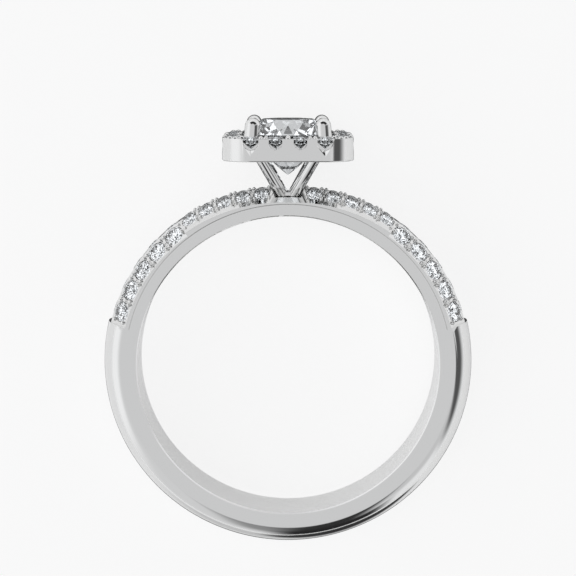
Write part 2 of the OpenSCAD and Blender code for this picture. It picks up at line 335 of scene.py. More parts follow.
# %% Both stretches, trimmed with a little lap
bed_center = (bed_shift, 0, 0)
change = seen_angle(between(small_count - 1))
stretch_small = bed_section("stretch_small", slope(0))
sweep(stretch_small, start=-4, turn=46, steps=60, center=bed_center)
trim(stretch_small, -lap, keep_after=True)
trim(stretch_small, change + lap, keep_after=False)
stretch_large = bed_section("stretch_large", slope(last))
sweep(stretch_large, start=30, turn=50, steps=66, center=bed_center)
trim(stretch_large, change - lap, keep_after=True)
trim(stretch_large, shoulder_angle, keep_after=False)
print("stretches:", len(stretch_small.data.polygons), len(stretch_large.data.polygons), "faces")


# %% [markdown]
# ## Seats, bright cuts and beads
# A setter first drills a seat for each stone, as deep as its culet. Between two stones the
# metal is cut into a bright V, and little beads are raised on both sides of the cut and
# pushed over the stones' edges. The same tools come here in the same order: a cone with an
# opened-out top for the seat, a square bar on its edge for the V, and small balls for beads.

# %% Places in a row
def at_place(i, row):
    """A stone's place on the shoulder towards +X: its table along Z, its row along X."""
    radius = bed_r if row == 0 else side_radius(i)
    sink = crest_sink if row == 0 else girdle_sink
    return (Matrix.Translation((bed_shift, 0, 0)) @ Matrix.Rotation(-places[i], 4, "Z")
            @ Matrix.Translation((0, radius, row * side_height(i)))
            @ Matrix.Rotation(row * slope(i) - math.pi / 2, 4, "X")
            @ Matrix.Translation((0, 0, -sink)))


def at_gap(i, row):
    """The middle of the space after stone i of a side row."""
    before = max(i, 0)
    after = min(i + 1, last)
    radius = (side_radius(before) + side_radius(after)) / 2
    height = (side_height(before) + side_height(after)) / 2
    return (Matrix.Translation((bed_shift, 0, 0)) @ Matrix.Rotation(-between(i), 4, "Z")
            @ Matrix.Translation((0, radius, row * height))
            @ Matrix.Rotation(row * slope(before) - math.pi / 2, 4, "X"))


# %% Seat tool
girdle_share = 0.03
table_share = 0.57
pavilion_share = 0.43
crown_share = 0.15
seat_gap = 0.02


def seat_tool(d, open_up, flare, sides=28):
    """Room for one stone, its girdle's middle at the origin, open above."""
    r = d / 2 + seat_gap
    half_girdle = girdle_share * d / 2
    depth = pavilion_share * d + seat_gap
    bpy.ops.object.select_all(action="DESELECT")
    bpy.ops.mesh.primitive_cone_add(vertices=sides, radius1=0, radius2=r, depth=depth,
                                    location=(0, 0, -half_girdle - depth / 2))
    tool = bpy.context.object
    place(tool, tool.matrix_world.copy())
    edit(tool, "FACE")
    select(tool, lambda face: face.normal.z > 0.9, "faces")
    bpy.ops.mesh.extrude_region_move(TRANSFORM_OT_translate={"value": (0, 0, 2 * half_girdle)})
    bpy.ops.mesh.extrude_region_move(TRANSFORM_OT_translate={"value": (0, 0, open_up)})
    bpy.ops.transform.resize(value=(1 + flare / r, 1 + flare / r, 1))
    leave_edit()
    return tool


# %% Tools that repeat along a row
def repeated(model, places_of, name):
    """One joined object with a copy of the model at each place."""
    twins = [copy_of(model, name + "_part", matrix) for matrix in places_of]
    return join(twins, name)


def bright_cut(length, size):
    """A square bar that lies on one of its edges, along Y."""
    bpy.ops.object.select_all(action="DESELECT")
    bpy.ops.mesh.primitive_cube_add(size=1)
    tool = bpy.context.object
    return place(tool, Matrix.Rotation(math.radians(45), 4, "Y")
                 @ Matrix.Diagonal((size, length, size, 1)))


stretches = [(stretch_small, range(0, small_count), small_d),
             (stretch_large, range(small_count, row_count), large_d)]
for stretch, stones, d in stretches:
    for row in (-1, 0, 1):
        tool = seat_tool(d, open_up=d / 2, flare=0.03)
        cut(stretch, repeated(tool, [at_place(i, row) for i in stones], "seats"))
        remove(tool)
    print(stretch.name, "with seats:", len(stretch.data.polygons), "faces")

# %% Bright cuts between the stones
cut_size = 0.14
cut_length = 0.75
cut_across = 0.36
cut_rise = 0.04
for stretch, stones, d in stretches:
    for row in (-1, 1):
        gaps = [i for i in stones if i < last and i != small_count - 1]
        shift = Matrix.Translation((0, -row * cut_across * d, cut_rise))
        tool = bright_cut(cut_length * d, cut_size)
        cut(stretch, repeated(tool, [at_gap(i, row) @ shift for i in gaps], "bright_cuts"))
        remove(tool)
    print(stretch.name, "with bright cuts:", len(stretch.data.polygons), "faces")

# %% Room for the foot
def seat_room_tool():
    """The room above the foot's seat, with ends that lean away from the legs."""
    height = crest_r - seat_z
    bpy.ops.object.select_all(action="DESELECT")
    bpy.ops.mesh.primitive_cube_add(size=1)
    tool = bpy.context.object
    place(tool, Matrix.Translation((0, seat_z + height / 2, 0))
          @ Matrix.Diagonal((2 * seat_half, height, 2 * band_w, 1)))
    edit(tool)
    select(tool, lambda point: point.co.y > seat_z + height / 2)
    widened = 1 + height * math.tan(math.radians(seat_lean)) / seat_half
    bpy.ops.transform.resize(value=(widened, 1, 1))
    leave_edit()
    return tool


def mirrored(piece, name):
    """The same piece on the other side of the head, with its faces outwards again."""
    twin = copy_of(piece, name, Matrix.Diagonal((-1, 1, 1, 1)))
    edit(twin)
    bpy.ops.mesh.select_all(action="SELECT")
    bpy.ops.mesh.normals_make_consistent(inside=False)
    leave_edit()
    return twin


cut(stretch_small, stretch_large, "UNION")
band = plain_band
band.name = "band"
cut(band, mirrored(stretch_small, "left"), "UNION")
cut(band, stretch_small, "UNION")
cut(band, seat_room_tool())
print("band in one piece:", len(band.data.polygons), "faces")


# %% Bore and grooves
def bore_tool():
    """The finger's room: a cylinder that opens out at the two rims of the bore."""
    bpy.ops.object.select_all(action="DESELECT")
    bpy.ops.mesh.primitive_cylinder_add(vertices=320, radius=bore_r, depth=2 * band_w)
    tool = bpy.context.object
    edit(tool, "EDGE")
    flare = (bore_r + rim_bevel) / bore_r
    for side in (-1, 1):
        for height in (half_w - rim_bevel, half_w):
            bpy.ops.mesh.select_all(action="SELECT")
            bpy.ops.mesh.bisect(plane_co=(0, 0, side * height), plane_no=(0, 0, 1))
        bpy.ops.transform.resize(value=(flare, flare, 1))
    leave_edit()
    return tool


def groove_tool(side):
    """A ring with a sharp inner edge, for the fine groove along the band's side."""
    tool = draw_section("groove", [(groove_r, side * (half_w - groove_size)),
                                   (groove_r + groove_size, side * (half_w + groove_size)),
                                   (groove_r - groove_size, side * (half_w + groove_size))])
    return sweep(tool, start=-shoulder_angle, turn=2 * shoulder_angle, steps=180)


groove_size = 0.05
cut(band, bore_tool())
for side in (-1, 1):
    cut(band, groove_tool(side))
print("band with its bore:", len(band.data.polygons), "faces")

# %% Beads
small_bead_r = 0.108
large_bead_r = 0.125
bead_offset = 0.13
bead_across = 0.36
bead_rise = 0.03
bead_stretch = 1.15


def bead(radius):
    """A ball that is a little longer across the row, as the setter's tool leaves it."""
    bpy.ops.object.select_all(action="DESELECT")
    bpy.ops.mesh.primitive_uv_sphere_add(segments=10, ring_count=6, radius=radius)
    piece = bpy.context.object
    edit(piece)
    bpy.ops.mesh.select_all(action="SELECT")
    bpy.ops.transform.resize(value=(1, bead_stretch, 1))
    leave_edit()
    return piece


bead_places = {small_d: [], large_d: []}
for i in range(-1, row_count):
    d = row_d(max(i, 0))
    for row in (-1, 1):
        for across in (-bead_across * d, bead_across * d):
            for along in (-bead_offset, bead_offset):
                beside_legs = i < 0 and across * row > 0
                outside = (i < 0 and along < 0) or (i == last and along > 0)
                if not beside_legs and not outside:
                    spot = Matrix.Translation((along, row * across, bead_rise))
                    bead_places[d].append(at_gap(i, row) @ spot)
bead_fields = []
for d in (small_d, large_d):
    model = bead(small_bead_r if d == small_d else large_bead_r)
    bead_fields.append(repeated(model, bead_places[d], "beads"))
    remove(model)
shoulder_beads_right = join(bead_fields, "shoulder_beads_right")
print("beads on one shoulder:", len(bead_places[small_d]) + len(bead_places[large_d]))

# %% Finish the band
def soften(piece, width, segments=2, angle=35):
    """A small round on each sharp edge, as polishing leaves it."""
    apply_modifier(piece, "BEVEL", width=width, segments=segments, limit_method="ANGLE",
                   angle_limit=math.radians(angle), harden_normals=False)


def shade(piece, angle=38):
    """Smooth shading that keeps the large flats flat."""
    keep_only(piece)
    bpy.ops.object.shade_smooth_by_angle(angle=math.radians(angle))
    apply_modifier(piece, "WEIGHTED_NORMAL", keep_sharp=True, weight=80)


polished_edge = 0.012
soften(band, polished_edge, segments=1)
shade(band, 30)
shade(shoulder_beads_right, 80)
shoulder_beads_left = mirrored(shoulder_beads_right, "shoulder_beads_left")
band = join([band, shoulder_beads_right, shoulder_beads_left], "band")
print("band with beads:", len(band.data.polygons), "faces")


# %% [markdown]
# ## The halo frame
# The halo is a cushion: a square plate with large round corners, open in the middle. A cube
# is the start. Its upright edges are bevelled to the corner's radius, and its lower and upper
# edges get a small round. Then come the opening, a drilled seat for each stone, and the
# scallops that let light in through the wall. The corner scallops end in a deep pointed cut.

# %% Cushion plate
lower_round = 0.07
upper_round = 0.03
edge_reach = 0.01
spare = 1


def cushion_plate():
    bpy.ops.object.select_all(action="DESELECT")
    bpy.ops.mesh.primitive_cube_add(size=1)
    piece = bpy.context.object
    piece.name = "halo_setting"
    place(piece, Matrix.Translation((0, 0, frame_z + frame_h / 2))
          @ Matrix.Diagonal((2 * frame_half, 2 * frame_half, frame_h, 1)))
    edit(piece, "EDGE")
    select(piece, lambda e: abs(e.verts[0].co.z - e.verts[1].co.z) > frame_h / 2, "edges")
    bpy.ops.mesh.bevel(offset=path_r + frame_out, segments=24, affect="EDGES")
    select(piece, lambda e: all(p.co.z < frame_z + edge_reach for p in e.verts), "edges")
    bpy.ops.mesh.bevel(offset=lower_round, segments=4, affect="EDGES")
    select(piece, lambda e: all(p.co.z > top_z - edge_reach for p in e.verts), "edges")
    bpy.ops.mesh.bevel(offset=upper_round, segments=2, affect="EDGES")
    leave_edit()
    return piece


def cylinder(radius, bottom, top, sides=96):
    bpy.ops.object.select_all(action="DESELECT")
    bpy.ops.mesh.primitive_cylinder_add(vertices=sides, radius=radius, depth=top - bottom)
    return place(bpy.context.object, Matrix.Translation((0, 0, (bottom + top) / 2)))


halo_setting = cushion_plate()
cut(halo_setting, cylinder(opening_r, frame_z - spare, top_z + spare))
print("cushion plate:", len(halo_setting.data.polygons), "faces")


# %% Halo places
def along(k):
    return -corner_off + 2 * corner_off * k / (halo_side_count - 1)


def halo_place(side, x, out=0.0, z=0.0):
    """A point on the halo's top: along a side, outwards from the stones' line, and up."""
    return (Matrix.Rotation(math.radians(90 * side), 4, "Z")
            @ Matrix.Translation((x, corner_off + path_r + out, top_z + z)))


halo_places = [halo_place(side, along(k), z=-halo_drop)
               for side in range(4) for k in range(halo_side_count)]
corner_places = [halo_place(side, along(k)) for side in range(4) for k in (0, halo_side_count - 1)]
middle_places = [halo_place(side, along(k)) for side in range(4)
                 for k in range(1, halo_side_count - 1)]


# %% Scallops
tool_reach = 1.2
slot_height = 1


def scallop_tool(half_width, depth):
    """A round-bottomed slot through the wall, open at the top."""
    arch = cylinder(half_width, 0, tool_reach, sides=40)
    place(arch, Matrix.Translation((0, 0, half_width - depth)) @ Matrix.Rotation(-math.pi / 2, 4, "X"))
    bpy.ops.object.select_all(action="DESELECT")
    bpy.ops.mesh.primitive_cube_add(size=1)
    slot_middle = (0, tool_reach / 2, half_width - depth + slot_height / 2)
    slot = place(bpy.context.object, Matrix.Translation(slot_middle)
                 @ Matrix.Diagonal((2 * half_width, tool_reach, slot_height, 1)))
    cut(arch, slot, "UNION")
    return arch


def pointed_tool(half_width, middle_z, tip_z, reach_in):
    """A four-sided cone on its corner: it leaves a pointed bright cut around a scallop."""
    wide = half_width * 3
    long = reach_in * 3
    bpy.ops.object.select_all(action="DESELECT")
    bpy.ops.mesh.primitive_cone_add(vertices=4, radius1=0, radius2=wide, depth=long)
    tool = bpy.context.object
    stretch_z = (middle_z - tip_z) / half_width
    return place(tool, Matrix.Translation((0, frame_out - reach_in + long / 2, middle_z))
                 @ Matrix.Diagonal((1, 1, stretch_z, 1)) @ Matrix.Rotation(-math.pi / 2, 4, "X"))


def cut_everywhere(piece, tool, places_of):
    cut(piece, repeated(tool, places_of, "tools"))
    remove(tool)


cut_everywhere(halo_setting, seat_tool(halo_d, open_up=halo_d, flare=0.04, sides=36), halo_places)
cut_everywhere(halo_setting, scallop_tool(half_width=0.43, depth=0.66), corner_places)
cut_everywhere(halo_setting, scallop_tool(half_width=0.37, depth=0.60), middle_places)
corner_point = pointed_tool(half_width=0.46, middle_z=-0.38, tip_z=-0.98, reach_in=0.30)
cut_everywhere(halo_setting, corner_point, corner_places)
middle_point = pointed_tool(half_width=0.40, middle_z=-0.24, tip_z=-0.69, reach_in=0.12)
cut_everywhere(halo_setting, middle_point, middle_places)
print("halo frame with scallops:", len(halo_setting.data.polygons), "faces")

# %% [markdown]
# ## Claws, legs and foot
# Each claw is a round wire with a ball-shaped end, so its outline is drawn once and spun. It
# leans a little towards the stone. Under the halo it goes on as a leg, which is a little
# thicker at the foot and has a flat towards the middle. All of it is one casting, so the
# pieces are united.

# %% Claw by spin
claw_r = 0.46
claw_tip_r = 0.44
claw_root = 0.75
claw_outline = [(0, -claw_root), (claw_r, -claw_root), (claw_r, 0), (claw_tip_r, claw_rise - claw_tip_r)]
dome_ends = 9
for k in range(1, dome_ends + 1):
    a = math.radians(90 * k / dome_ends)
    claw_outline.append((claw_tip_r * math.cos(a), claw_rise + claw_tip_r * (math.sin(a) - 1)))


def claw():
    piece = draw_outline("claw", claw_outline)
    edit(piece)
    bpy.ops.mesh.select_all(action="SELECT")
    bpy.ops.mesh.spin(steps=40, angle=2 * math.pi, center=(0, 0, 0), axis=(0, 0, 1))
    leave_edit()
    face_outwards(piece)
    return place(piece, Matrix.Translation((claw_off, claw_off, top_z))
                 @ Matrix.Rotation(math.radians(45), 4, "Z")
                 @ Matrix.Rotation(math.radians(-claw_lean), 4, "Y"))


# %% Leg
leg_foot_r = 0.35
leg_claw_r = 0.3
leg_foot_off = 0.29
leg_top_drop = 0.375
leg_flat = 0.2


def leg():
    """A tapered rod from the foot up to its claw, flattened on the inside."""
    foot_point = Vector((leg_foot_off, leg_foot_off, foot_z))
    claw_point = Vector((claw_off, claw_off, top_z - leg_top_drop))
    run = claw_point - foot_point
    length = run.length + leg_foot_r
    bpy.ops.object.select_all(action="DESELECT")
    bpy.ops.mesh.primitive_cone_add(vertices=64, radius1=leg_foot_r, radius2=leg_claw_r,
                                    depth=length)
    piece = bpy.context.object
    place(piece, Matrix.Translation((0, 0, length / 2 - leg_foot_r)))
    lean = math.atan2(math.hypot(run.x, run.y), run.z)
    edit(piece)
    bpy.ops.mesh.select_all(action="SELECT")
    bpy.ops.mesh.bisect(plane_co=(-leg_flat, 0, 0), plane_no=(-1, 0, 0.01), use_fill=True,
                        clear_outer=True, threshold=0.00001)
    leave_edit()
    return place(piece, Matrix.Translation(foot_point) @ Matrix.Rotation(math.radians(45), 4, "Z")
                 @ Matrix.Rotation(lean, 4, "Y"))


# %% Put the head together
def quarter(side):
    return Matrix.Rotation(math.radians(90 * side), 4, "Z")


one_claw = claw()
one_leg = leg()
for side in range(4):
    cut(halo_setting, copy_of(one_leg, "leg", quarter(side)), "UNION")
    cut(halo_setting, copy_of(one_claw, "claw", quarter(side)), "UNION")
remove(one_claw)
remove(one_leg)
foot_height = 0.24
foot_round = 0.05
foot = cylinder(foot_r, foot_z, foot_z + foot_height, sides=64)
soften(foot, foot_round, segments=3)
cut(halo_setting, foot, "UNION")
below_foot = 2
cut(halo_setting, cylinder(below_foot, foot_z - below_foot, foot_z))
print("head:", len(halo_setting.data.polygons), "faces")


# %% Room for the center stone
def center_room():
    r = center_d / 2 + seat_gap
    half_girdle = girdle_share * center_d / 2 + seat_gap
    table_edge = table_share * center_d / 2
    table_z = half_girdle + crown_share * center_d
    culet_z = half_girdle + pavilion_share * center_d
    outline = [(0, -culet_z), (r, -half_girdle), (r, half_girdle), (table_edge, table_z), (0, table_z)]
    piece = draw_outline("center_room", outline)
    edit(piece)
    bpy.ops.mesh.select_all(action="SELECT")
    bpy.ops.mesh.spin(steps=96, angle=2 * math.pi, center=(0, 0, 0), axis=(0, 0, 1))
    leave_edit()
    face_outwards(piece)
    return place(piece, Matrix.Translation((0, 0, girdle_z)))


cut(halo_setting, center_room())
soften(halo_setting, polished_edge, segments=1, angle=40)
shade(halo_setting)
print("head with the stone's seat:", len(halo_setting.data.polygons), "faces")

# %% Halo beads
single_r = 0.17
pair_r = 0.13
pair_half_space = 0.14
corner_half_space = 0.2
outside_stones = 0.42
inside_stones = -0.3
pair_outside_stones = 0.46
bead_sets = {single_r: [], pair_r: []}
corner_turn = Matrix.Rotation(math.radians(-45), 4, "Z")
for side in range(4):
    for k in range(halo_side_count - 1):
        middle = (along(k) + along(k + 1)) / 2
        if k == (halo_side_count - 2) / 2:
            bead_sets[single_r] += [halo_place(side, middle, outside_stones, z=-0.06),
                                    halo_place(side, middle, inside_stones, z=-0.02)]
        else:
            for x in (-pair_half_space, pair_half_space):
                bead_sets[pair_r] += [halo_place(side, middle + x, pair_outside_stones, z=-0.05),
                                      halo_place(side, middle + x, inside_stones, z=-0.02)]
    diagonal = Matrix.Translation((corner_off, corner_off, 0)) @ corner_turn
    for out, x in ((path_r + outside_stones, corner_half_space),
                   (path_r + outside_stones, -corner_half_space),
                   (path_r + inside_stones, 0)):
        spot = diagonal @ Matrix.Translation((x, out, top_z - 0.05))
        bead_sets[single_r].append(quarter(side) @ spot)
halo_beads = []
for radius, spots in bead_sets.items():
    model = bead(radius)
    halo_beads.append(repeated(model, spots, "beads"))
    remove(model)
halo_beads = join(halo_beads, "halo_beads")
shade(halo_beads, 80)
halo_setting = join([halo_setting, halo_beads], "halo_setting")
place(halo_setting, laid_over)
print("head with beads:", len(halo_setting.data.polygons), "faces")


# %% [markdown]
# ## The stones
# A round brilliant is ground one facet at a time, and so is this one. It starts as a drum
# with sixteen sides. Bisect takes off everything above a facet's plane and fills the cut, first
# for the crown and then for the pavilion. The stone is a millimetre wide, so that a copy needs
# only its own diameter and place.

# %% Grind one brilliant
rim_r = 0.5
rim_sides = 16
side_deg = 360 / rim_sides
table_r = table_share * rim_r
girdle_half = girdle_share * rim_r
table_height = girdle_half + crown_share
culet_depth = girdle_half + pavilion_share
star_r = 0.3935
star_height = girdle_half + crown_share * 0.635
lower_r = 0.11
lower_height = -culet_depth * 0.8036


def polar(r, eighths, z):
    a = math.radians(45 * eighths)
    return Vector((r * math.cos(a), r * math.sin(a), z))


def grind(piece, a, b, c):
    """Takes off what lies outside the plane through three points."""
    normal = (b - a).cross(c - a)
    if normal.dot(a) < 0:
        normal = -normal
    bpy.ops.mesh.select_all(action="SELECT")
    bpy.ops.mesh.bisect(plane_co=a, plane_no=normal, use_fill=True, clear_outer=True, threshold=0.00001)


def brilliant():
    bpy.ops.object.select_all(action="DESELECT")
    bpy.ops.mesh.primitive_cylinder_add(vertices=rim_sides, radius=rim_r, depth=2)
    piece = bpy.context.object
    place(piece, Matrix.Rotation(math.radians(side_deg / 2), 4, "Z"))
    widest = max(math.atan2(p.co.y, p.co.x) % math.radians(side_deg) for p in piece.data.vertices)
    place(piece, Matrix.Rotation(-widest, 4, "Z"))
    edit(piece)
    grind(piece, polar(0.1, 0, table_height), polar(0.1, 1, table_height), polar(0.1, 2, table_height))
    for k in range(8):
        grind(piece, polar(table_r, k, table_height), polar(star_r, k - 0.5, star_height),
              polar(star_r, k + 0.5, star_height))
        grind(piece, polar(table_r, k, table_height), polar(table_r, k + 1, table_height),
              polar(star_r, k + 0.5, star_height))
        for side in (0, 1):
            grind(piece, polar(star_r, k + 0.5, star_height), polar(rim_r, k + 0.5, girdle_half),
                  polar(rim_r, k + side, girdle_half))
    for k in range(8):
        grind(piece, polar(rim_r, k, -girdle_half), polar(lower_r, k + 0.5, lower_height),
              polar(lower_r, k - 0.5, lower_height))
        for side in (0, 1):
            grind(piece, polar(rim_r, k + 0.5, -girdle_half), polar(rim_r, k + side, -girdle_half),
                  polar(lower_r, k + 0.5, lower_height))
    leave_edit()
    return piece


unit_stone = brilliant()
print("one brilliant:", len(unit_stone.data.polygons), "facets")

# %% A brilliant for every seat
halo_stones = []
for number, spot in enumerate(halo_places, start=1):
    stone = copy_of(unit_stone, "halo_brilliant_%02d" % number,
                    laid_over @ spot @ Matrix.Scale(halo_d, 4))
    halo_stones.append(stone)

center_brilliant = copy_of(unit_stone, "center_brilliant",
                           laid_over @ Matrix.Translation((0, 0, girdle_z))
                           @ Matrix.Rotation(math.radians(side_deg), 4, "Z")
                           @ Matrix.Scale(center_d, 4))

stone_copies = []
for i in range(row_count):
    for row in (-1, 0, 1):
        turned = Matrix.Rotation(math.radians(13 * i + 7 * row), 4, "Z")
        stone_copies.append(copy_of(unit_stone, "stone",
                                    at_place(i, row) @ turned @ Matrix.Scale(row_d(i), 4)))
shoulder_brilliants_right = join(stone_copies, "shoulder_brilliants_right")
shoulder_brilliants_left = mirrored(shoulder_brilliants_right, "shoulder_brilliants_left")
remove(unit_stone)
print("stones on a shoulder:", len(stone_copies))

# %% [markdown]
# ## Finishes
# White gold is plated and polished, so it is nearly a mirror: what it shows is the room
# around it. Three finishes differ in how smooth they are, and a little in their tone. The
# inside of the bore and the flat sides are brushed by the last wheel, the dome and the claws
# are bright, and the bed under the stones is a little darker and keeps the small marks of the
# setter's tools. One node group makes those marks, and each material uses it with its own
# values.

# %% Tool marks group
def tool_marks_group():
    group = bpy.data.node_groups.new("tool_marks", "ShaderNodeTree")
    for name, value in (("Scale", 1000.0), ("Height", 0.1), ("Smooth", 0.06), ("Rough", 0.12)):
        socket = group.interface.new_socket(name=name, in_out="INPUT", socket_type="NodeSocketFloat")
        socket.default_value = value
    group.interface.new_socket(name="Roughness", in_out="OUTPUT", socket_type="NodeSocketFloat")
    group.interface.new_socket(name="Normal", in_out="OUTPUT", socket_type="NodeSocketVector")
    nodes = group.nodes
    link = group.links.new
    given = nodes.new("NodeGroupInput")
    result = nodes.new("NodeGroupOutput")
    where = nodes.new("ShaderNodeTexCoord")
    noise = nodes.new("ShaderNodeTexNoise")
    noise.inputs["Detail"].default_value = 3
    link(where.outputs["Object"], noise.inputs["Vector"])
    link(given.outputs["Scale"], noise.inputs["Scale"])
    spread = nodes.new("ShaderNodeMapRange")
    link(noise.outputs["Fac"], spread.inputs["Value"])
    spread.inputs["From Min"].default_value = 0.3
    spread.inputs["From Max"].default_value = 0.7
    link(given.outputs["Smooth"], spread.inputs["To Min"])
    link(given.outputs["Rough"], spread.inputs["To Max"])
    link(spread.outputs["Result"], result.inputs["Roughness"])
    bump = nodes.new("ShaderNodeBump")
    bump.inputs["Distance"].default_value = 0.00002
    link(given.outputs["Height"], bump.inputs["Strength"])
    link(noise.outputs["Fac"], bump.inputs["Height"])
    link(bump.outputs["Normal"], result.inputs["Normal"])
    return group


marks = tool_marks_group()


def metal(name, color, scale, height, smooth, rough):
    material = bpy.data.materials.new(name)
    material.use_nodes = True
    nodes = material.node_tree.nodes
    shader = nodes["Principled BSDF"]
    shader.inputs["Base Color"].default_value = (*color, 1)
    shader.inputs["Metallic"].default_value = 1
    used = nodes.new("ShaderNodeGroup")
    used.node_tree = marks
    for socket, value in (("Scale", scale), ("Height", height), ("Smooth", smooth), ("Rough", rough)):
        used.inputs[socket].default_value = value
    material.node_tree.links.new(used.outputs["Roughness"], shader.inputs["Roughness"])
    material.node_tree.links.new(used.outputs["Normal"], shader.inputs["Normal"])
    return material


polished = metal("polished_white_gold", (0.88, 0.88, 0.875), scale=250, height=0.05,
                 smooth=0.05, rough=0.09)
brushed = metal("brushed_white_gold", (0.86, 0.86, 0.86), scale=400, height=0.1,
                smooth=0.18, rough=0.26)
hand_cut = metal("hand_cut_white_gold", (0.77, 0.765, 0.73), scale=1500, height=0.3,
                 smooth=0.06, rough=0.12)


# %% Stone material
def clear_stone():
    material = bpy.data.materials.new("clear_brilliant")
    material.use_nodes = True
    shader = material.node_tree.nodes["Principled BSDF"]
    shader.inputs["Base Color"].default_value = (0.955, 0.98, 1.0, 1)
    shader.inputs["Transmission Weight"].default_value = 1
    shader.inputs["IOR"].default_value = 2.42
    shader.inputs["Roughness"].default_value = 0
    return material


stone_glass = clear_stone()


# %% Give each piece its finish
def finish(piece, materials, node_names):
    """Lays the piece where the ring rests, and gives it its materials."""
    place(piece, at_rest)
    piece.data.materials.clear()
    for material in materials:
        piece.data.materials.append(material)
    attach(piece, "root")
    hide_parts(*node_names)


bore_reach = bore_r + 0.02
flat_reach = side_r + 0.01
hand_cut_reach = shoulder_angle + 0.3


def band_finish(face):
    """0 for the polished dome, 1 for the brushed sides and bore, 2 for the hand-cut shoulders."""
    radius = math.hypot(face.center.x, face.center.y)
    if radius < bore_reach or (abs(face.normal.z) > 0.999 and radius < flat_reach):
        return 1
    from_head = math.degrees(math.atan2(abs(face.center.x), face.center.y))
    return 2 if from_head < hand_cut_reach else 0


for face in band.data.polygons:
    face.material_index = band_finish(face)
finish(band, [polished, brushed, hand_cut], ["shank"])
finish(halo_setting, [polished], ["head"])
finish(center_brilliant, [stone_glass], ["center_stone"])
for number, stone in enumerate(halo_stones, start=1):
    finish(stone, [stone_glass], ["halo_stone_%02d" % number])
finish(shoulder_brilliants_right, [stone_glass], ["shoulder_stones_right"])
finish(shoulder_brilliants_left, [stone_glass], ["shoulder_stones_left"])
print("finished pieces:", 5 + len(halo_stones))

# %% [markdown]
# ## Light and camera
# Polished metal needs something to reflect. A jeweller's photographer stands white panels and black
# cards around the ring, and so does this world: a soft pale sky with a few brighter and darker areas,
# each with its direction, its size and a soft edge. The floor is plain and pale to the camera, but the
# metal sees painted shadows and painted dark reflections on it, and the stones see it glow brighter.

# %% Floor
bpy.ops.object.select_all(action="DESELECT")
bpy.ops.mesh.primitive_plane_add(size=6)
floor = bpy.context.object
floor.name = "floor"
paper = bpy.data.materials.new("pale_paper")
paper.use_nodes = True
paper_nodes = paper.node_tree.nodes
paper_link = paper.node_tree.links.new
paper_shader = paper_nodes["Principled BSDF"]
paper_shader.inputs["Roughness"].default_value = 0.9
paper_shader.inputs["Specular IOR Level"].default_value = 0.1
paper_shader.inputs["Emission Color"].default_value = (1, 1, 1, 1)
paper_path = paper_nodes.new("ShaderNodeLightPath")
paper_where = paper_nodes.new("ShaderNodeTexCoord").outputs["Object"]


def paper_range(value, low, high, to_low, to_high):
    """Turns low to high into to_low to to_high; either end is a number or a node's output."""
    node = paper_nodes.new("ShaderNodeMapRange")
    for socket, given in zip(node.inputs, (value, low, high, to_low, to_high)):
        if isinstance(given, (int, float)):
            socket.default_value = given
        else:
            paper_link(given, socket)
    return node.outputs["Result"]


def away_from(x, y):
    """The distance in metres from a point on the floor."""
    node = paper_nodes.new("ShaderNodeVectorMath")
    node.operation = "DISTANCE"
    paper_link(paper_where, node.inputs[0])
    node.inputs[1].default_value = (x, y, 0)
    return node.outputs["Value"]


def disc(x, y, inner_r, outer_r, tone, around):
    """A round patch at a point on the floor, used for painted shadows and painted reflections: its tone,
    then a soft edge to what is around it.
    """
    return paper_range(away_from(x, y), inner_r, outer_r, tone, around)


# %% Painted shadows and painted dark reflections on the paper, where only the metal sees them
# Painted reflection: a grey patch on the paper that only the metal sees, so its reflections darken
# there.
painted_grey_reflection = disc(-0.0045, -0.0225, 0.006, 0.0125, 0.72, 1)
# Painted shadow: a dark ring on the paper just outside the band, where the ring's contact shadow falls,
# seen only in the metal. Inside the bore the paper stays bright.
painted_contact_shadow = disc(0, -0.0024, 0.0112, 0.0120, 0.10, painted_grey_reflection)
inside_band = disc(0, -0.0019, 0.0086, 0.0090, 1, painted_contact_shadow)
# Painted shadow: a dark patch on the paper under the head, seen only in the metal.
painted_shadow_under_head = disc(0, 0.0105, 0.0052, 0.0068, 0.15, inside_band)
# Painted reflections: two black patches on the paper, farther out, that only the metal sees.
painted_far_dark_reflection = disc(0.0060, -0.0400, 0.0095, 0.0125, 0.10, painted_shadow_under_head)
painted_dark_reflection = disc(0.0066, -0.0232, 0.0082, 0.0105, 0.04, painted_far_dark_reflection)

# %% What the paper gives the stones, the metal and the camera
# Through the stones the paper glows brighter than anywhere else: painted light that keeps the stones
# bright.
for_stones = paper_range(paper_path.outputs["Is Transmission Ray"], 0, 1, painted_dark_reflection, 1.9)
# The camera sees even, pale paper. Every other ray sees the painted shadows and painted reflections
# above in the paper's colour.
paper_tone_and_painted_shade = paper_range(paper_path.outputs["Is Camera Ray"], 0, 1, painted_dark_reflection, 0.22)
paper_link(paper_tone_and_painted_shade, paper_shader.inputs["Base Color"])
# In the metal those painted patches glow faintly, and through the stones the paper glows strongly.
shine = paper_nodes.new("ShaderNodeMath")
shine.operation = "MULTIPLY"
paper_link(for_stones, shine.inputs[0])
shine.inputs[1].default_value = 0.3
paper_glow = paper_range(paper_path.outputs["Is Camera Ray"], 0, 1, shine.outputs[0], 0.834)
paper_link(paper_glow, paper_shader.inputs["Emission Strength"])
floor.data.materials.append(paper)

# %% Sky with panels and cards
world = bpy.data.worlds.new("studio")
bpy.context.scene.world = world
world.use_nodes = True
sky = world.node_tree.nodes
sky_link = world.node_tree.links.new
sky.clear()


def sky_math(operation, first, second=None, third=None):
    node = sky.new("ShaderNodeMath")
    node.operation = operation
    for socket, value in zip(node.inputs, (first, second, third)):
        if isinstance(value, (int, float)):
            socket.default_value = value
        elif value is not None:
            sky_link(value, socket)
    return node.outputs[0]


